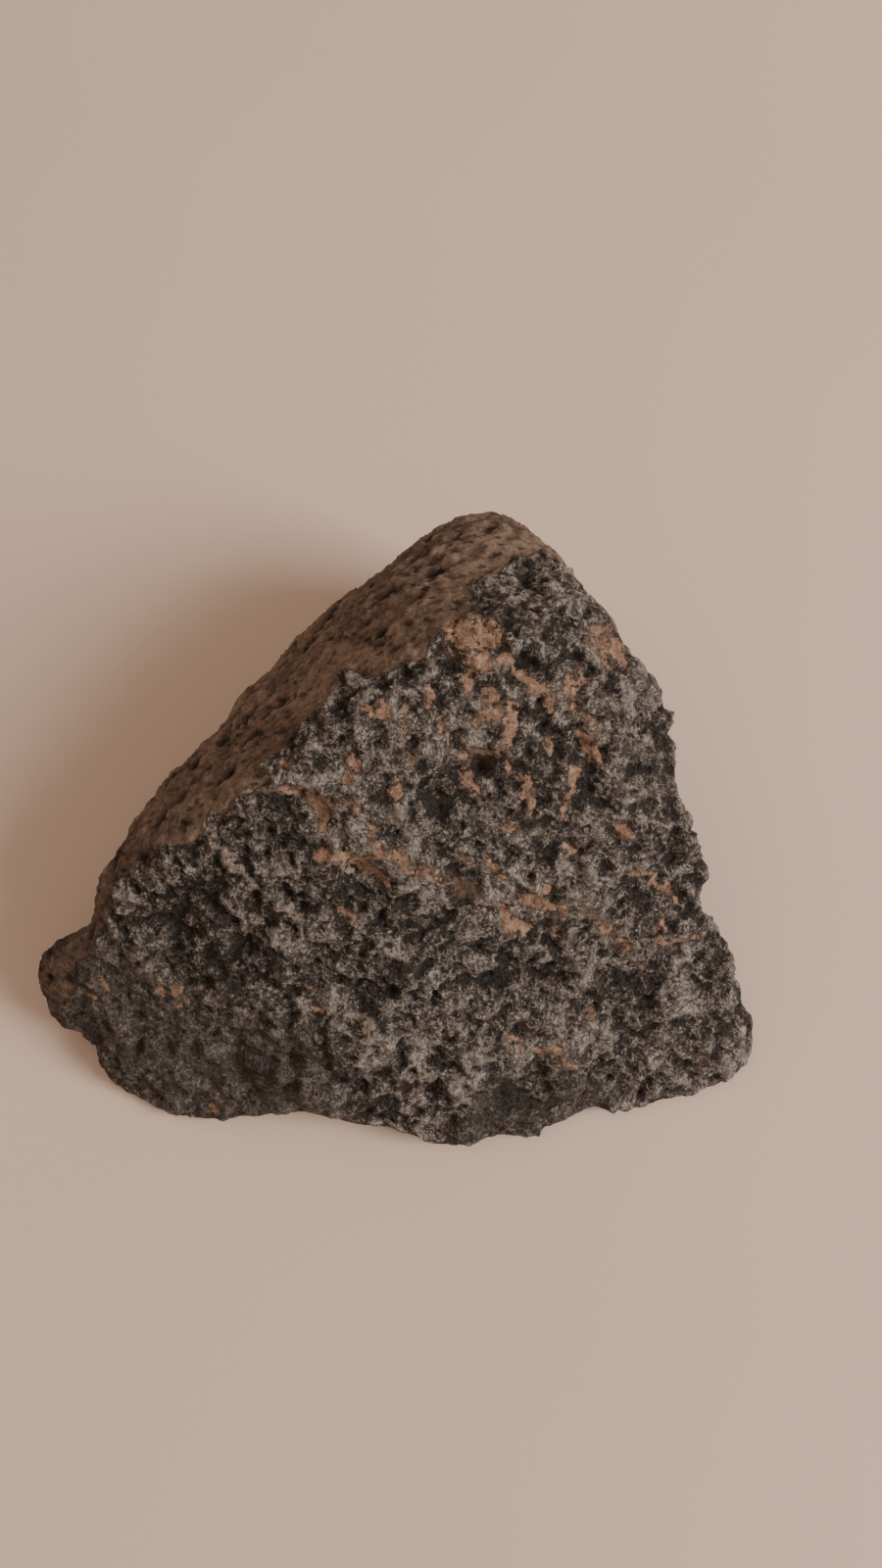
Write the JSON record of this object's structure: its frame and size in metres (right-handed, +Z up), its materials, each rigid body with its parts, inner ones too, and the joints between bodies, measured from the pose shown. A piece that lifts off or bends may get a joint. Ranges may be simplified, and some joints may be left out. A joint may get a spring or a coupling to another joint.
{
  "type": "meteorite",
  "caption": "Dark stony meteorite fragment, a wedge with a broken, pitted grey front and a brown crusted back, resting on a flat side.",
  "frame": {"origin": "bottom centre of the bounding box, on the level of the flat side that the stone rests on", "axes": "+X along the stone's long side, from its narrow tip to its broad corner; +Y from the sloping grey front to the crusted back; +Z up"},
  "size_m": [0.066, 0.0554, 0.0305],
  "materials": {
    "stone": "dark grey-brown broken stone, rough and pitted, with tan clay in its hollows and a dull brown crust on its back"
  },
  "bodies": {
    "root": {"meteorite": "stone"}
  },
  "joints": []
}
